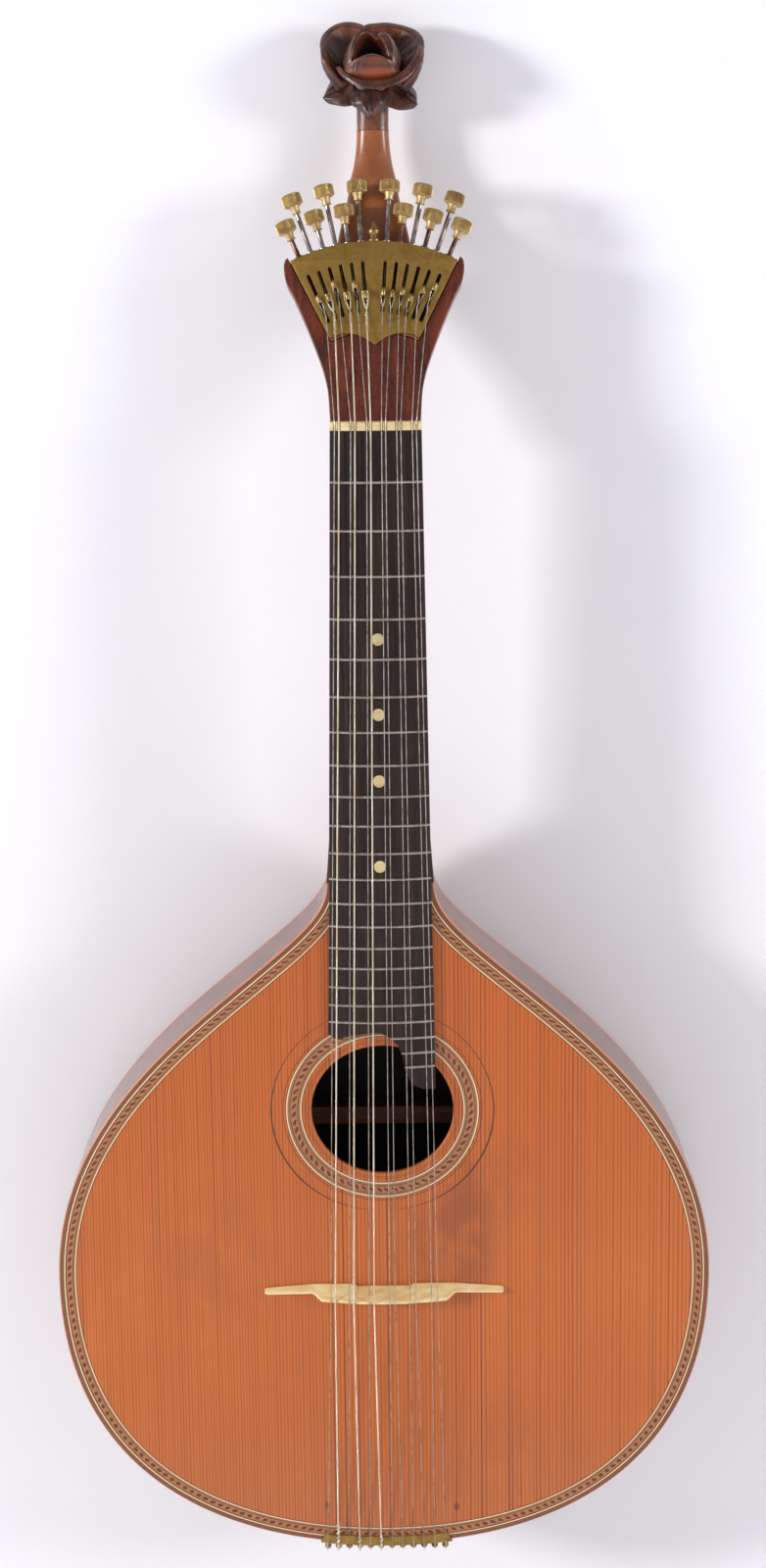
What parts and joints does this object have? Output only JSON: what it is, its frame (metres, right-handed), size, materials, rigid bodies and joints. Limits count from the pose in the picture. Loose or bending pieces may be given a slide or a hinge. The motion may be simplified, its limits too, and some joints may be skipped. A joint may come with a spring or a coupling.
{
  "type": "portuguese guitar",
  "caption": "Pear-bodied fretted guitar with doubled strings, a fan-shaped screw tuning plate with sliding string hooks, a floating bridge and a carved rose on its head.",
  "frame": {"origin": "on the centre plane at the nut's fretboard-side edge, on the plane of the soundboard's outer face, which is the fretboard's glue plane; a wall hanger holds the neck there", "axes": "+Z along the neck toward the head, +X to the treble side, -Y is the way the soundboard faces"},
  "size_m": [0.354, 0.1022, 0.8286],
  "materials": {
    "soundboard": "aged amber-varnished spruce, satin gloss",
    "back_plate": "varnished red-brown figured wood, satin gloss",
    "ribs": "varnished red-brown figured wood, satin gloss",
    "bindings": "dark wood edging, satin gloss",
    "linings": "bare pale wood",
    "blocks": "bare pale wood",
    "braces": "bare pale wood",
    "neck": "dark red-brown varnished wood",
    "carved_rose": "dark stained carved wood with worn edges",
    "fretboard": "dark close-grained wood with metal frets",
    "nut": "aged bone",
    "bridge": "aged bone",
    "fan_plate": "tarnished brass",
    "fan_frame": "tarnished brass",
    "fan_finial": "worn brass",
    "tail_plate": "worn brass",
    "tuner_steel": "worn nickel-plated steel",
    "hook_brass": "worn brass",
    "string_plain": "plain steel wire",
    "string_wound": "silver-plated wound wire"
  },
  "bodies": {
    "instrument": {"soundboard": "soundboard", "back_plate": "back_plate", "rib_bass_side": "ribs", "rib_treble_side": "ribs", "top_binding": "bindings", "back_binding": "bindings", "lining_top": "linings", "lining_back": "linings", "neck_block": "blocks", "tail_block": "blocks", "top_brace_upper": "braces", "top_brace_lower": "braces", "back_brace_upper": "braces", "back_brace_middle": "braces", "back_brace_lower": "braces", "neck": "neck", "carved_rose": "carved_rose", "fretboard": "fretboard", "nut": "nut", "bridge": "bridge", "fan_plate": "fan_plate", "fan_frame": "fan_frame", "fan_finial": "fan_finial", "tail_plate": "tail_plate", "string_01": "string_plain", "string_02": "string_wound", "string_03": "string_plain", "string_04": "string_wound", "string_05": "string_plain", "string_06": "string_wound", "string_07": "string_plain", "string_08": "string_plain", "string_09": "string_plain", "string_10": "string_plain", "string_11": "string_plain", "string_12": "string_plain"},
    "tuner_01": {"tuner_01": "tuner_steel"},
    "hook_01": {"hook_01": "hook_brass"},
    "tuner_02": {"tuner_02": "tuner_steel"},
    "hook_02": {"hook_02": "hook_brass"},
    "tuner_03": {"tuner_03": "tuner_steel"},
    "hook_03": {"hook_03": "hook_brass"},
    "tuner_04": {"tuner_04": "tuner_steel"},
    "hook_04": {"hook_04": "hook_brass"},
    "tuner_05": {"tuner_05": "tuner_steel"},
    "hook_05": {"hook_05": "hook_brass"},
    "tuner_06": {"tuner_06": "tuner_steel"},
    "hook_06": {"hook_06": "hook_brass"},
    "tuner_07": {"tuner_07": "tuner_steel"},
    "hook_07": {"hook_07": "hook_brass"},
    "tuner_08": {"tuner_08": "tuner_steel"},
    "hook_08": {"hook_08": "hook_brass"},
    "tuner_09": {"tuner_09": "tuner_steel"},
    "hook_09": {"hook_09": "hook_brass"},
    "tuner_10": {"tuner_10": "tuner_steel"},
    "hook_10": {"hook_10": "hook_brass"},
    "tuner_11": {"tuner_11": "tuner_steel"},
    "hook_11": {"hook_11": "hook_brass"},
    "tuner_12": {"tuner_12": "tuner_steel"},
    "hook_12": {"hook_12": "hook_brass"}
  },
  "joints": [
    {"name": "hook_01_slide", "type": "slide", "parent": "instrument", "child": "hook_01", "axis": [-0.3971, 0.1908, 0.8977], "range_m": [-0.0109, 0.0126], "deforming": ["string_01"]},
    {"name": "tuner_01_turn", "type": "hinge", "parent": "instrument", "child": "tuner_01", "pos_m": [-0.04369, 0.02705, 0.09839], "axis": [-0.3971, 0.1908, 0.8977], "range_deg": [-5670, 4907]},
    {"name": "hook_02_slide", "type": "slide", "parent": "instrument", "child": "hook_02", "axis": [-0.3338, 0.196, 0.922], "range_m": [-0.00979, 0.01371], "deforming": ["string_02"]},
    {"name": "tuner_02_turn", "type": "hinge", "parent": "instrument", "child": "tuner_02", "pos_m": [-0.03672, 0.02762, 0.10107], "axis": [-0.3338, 0.196, 0.922], "range_deg": [-6171, 4407]},
    {"name": "hook_03_slide", "type": "slide", "parent": "instrument", "child": "hook_03", "axis": [-0.2689, 0.2003, 0.9421], "range_m": [-0.01541, 0.00809], "deforming": ["string_03"]},
    {"name": "tuner_03_turn", "type": "hinge", "parent": "instrument", "child": "tuner_03", "pos_m": [-0.02958, 0.02809, 0.10328], "axis": [-0.2689, 0.2003, 0.9421], "range_deg": [-3643, 6934]},
    {"name": "hook_04_slide", "type": "slide", "parent": "instrument", "child": "hook_04", "axis": [-0.2028, 0.2036, 0.9578], "range_m": [-0.0082, 0.0153], "deforming": ["string_04"]},
    {"name": "tuner_04_turn", "type": "hinge", "parent": "instrument", "child": "tuner_04", "pos_m": [-0.02231, 0.02845, 0.10501], "axis": [-0.2028, 0.2036, 0.9578], "range_deg": [-6887, 3691]},
    {"name": "hook_05_slide", "type": "slide", "parent": "instrument", "child": "hook_05", "axis": [-0.1357, 0.206, 0.9691], "range_m": [-0.0131, 0.0104], "deforming": ["string_05"]},
    {"name": "tuner_05_turn", "type": "hinge", "parent": "instrument", "child": "tuner_05", "pos_m": [-0.01493, 0.02872, 0.10625], "axis": [-0.1357, 0.206, 0.9691], "range_deg": [-4681, 5897]},
    {"name": "hook_06_slide", "type": "slide", "parent": "instrument", "child": "hook_06", "axis": [-0.068, 0.2074, 0.9759], "range_m": [-0.0074, 0.0161], "deforming": ["string_06"]},
    {"name": "tuner_06_turn", "type": "hinge", "parent": "instrument", "child": "tuner_06", "pos_m": [-0.00748, 0.02888, 0.107], "axis": [-0.068, 0.2074, 0.9759], "range_deg": [-7245, 3333]},
    {"name": "hook_07_slide", "type": "slide", "parent": "instrument", "child": "hook_07", "axis": [0.068, 0.2074, 0.9759], "range_m": [-0.0087, 0.0148], "deforming": ["string_07"]},
    {"name": "tuner_07_turn", "type": "hinge", "parent": "instrument", "child": "tuner_07", "pos_m": [0.00748, 0.02888, 0.107], "axis": [0.068, 0.2074, 0.9759], "range_deg": [-6660, 3917]},
    {"name": "hook_08_slide", "type": "slide", "parent": "instrument", "child": "hook_08", "axis": [0.1357, 0.206, 0.9691], "range_m": [-0.0082, 0.0153], "deforming": ["string_08"]},
    {"name": "tuner_08_turn", "type": "hinge", "parent": "instrument", "child": "tuner_08", "pos_m": [0.01493, 0.02872, 0.10625], "axis": [0.1357, 0.206, 0.9691], "range_deg": [-6887, 3691]},
    {"name": "hook_09_slide", "type": "slide", "parent": "instrument", "child": "hook_09", "axis": [0.2028, 0.2036, 0.9578], "range_m": [-0.01, 0.0135], "deforming": ["string_09"]},
    {"name": "tuner_09_turn", "type": "hinge", "parent": "instrument", "child": "tuner_09", "pos_m": [0.02231, 0.02845, 0.10501], "axis": [0.2028, 0.2036, 0.9578], "range_deg": [-6076, 4502]},
    {"name": "hook_10_slide", "type": "slide", "parent": "instrument", "child": "hook_10", "axis": [0.2689, 0.2003, 0.9421], "range_m": [-0.0078, 0.0157], "deforming": ["string_10"]},
    {"name": "tuner_10_turn", "type": "hinge", "parent": "instrument", "child": "tuner_10", "pos_m": [0.02958, 0.02809, 0.10328], "axis": [0.2689, 0.2003, 0.9421], "range_deg": [-7066, 3512]},
    {"name": "hook_11_slide", "type": "slide", "parent": "instrument", "child": "hook_11", "axis": [0.3338, 0.196, 0.922], "range_m": [-0.01361, 0.00989], "deforming": ["string_11"]},
    {"name": "tuner_11_turn", "type": "hinge", "parent": "instrument", "child": "tuner_11", "pos_m": [0.03672, 0.02762, 0.10107], "axis": [0.3338, 0.196, 0.922], "range_deg": [-4454, 6124]},
    {"name": "hook_12_slide", "type": "slide", "parent": "instrument", "child": "hook_12", "axis": [0.3971, 0.1908, 0.8977], "range_m": [-0.01729, 0.00621], "deforming": ["string_12"]},
    {"name": "tuner_12_turn", "type": "hinge", "parent": "instrument", "child": "tuner_12", "pos_m": [0.04369, 0.02705, 0.09839], "axis": [0.3971, 0.1908, 0.8977], "range_deg": [-2796, 7781]}
  ],
  "couplings": [
    {"joint": "tuner_01_turn", "follows": "hook_01_slide", "rad_per_m": -7854},
    {"joint": "tuner_02_turn", "follows": "hook_02_slide", "rad_per_m": -7854},
    {"joint": "tuner_03_turn", "follows": "hook_03_slide", "rad_per_m": -7854},
    {"joint": "tuner_04_turn", "follows": "hook_04_slide", "rad_per_m": -7854},
    {"joint": "tuner_05_turn", "follows": "hook_05_slide", "rad_per_m": -7854},
    {"joint": "tuner_06_turn", "follows": "hook_06_slide", "rad_per_m": -7854},
    {"joint": "tuner_07_turn", "follows": "hook_07_slide", "rad_per_m": -7854},
    {"joint": "tuner_08_turn", "follows": "hook_08_slide", "rad_per_m": -7854},
    {"joint": "tuner_09_turn", "follows": "hook_09_slide", "rad_per_m": -7854},
    {"joint": "tuner_10_turn", "follows": "hook_10_slide", "rad_per_m": -7854},
    {"joint": "tuner_11_turn", "follows": "hook_11_slide", "rad_per_m": -7854},
    {"joint": "tuner_12_turn", "follows": "hook_12_slide", "rad_per_m": -7854}
  ]
}
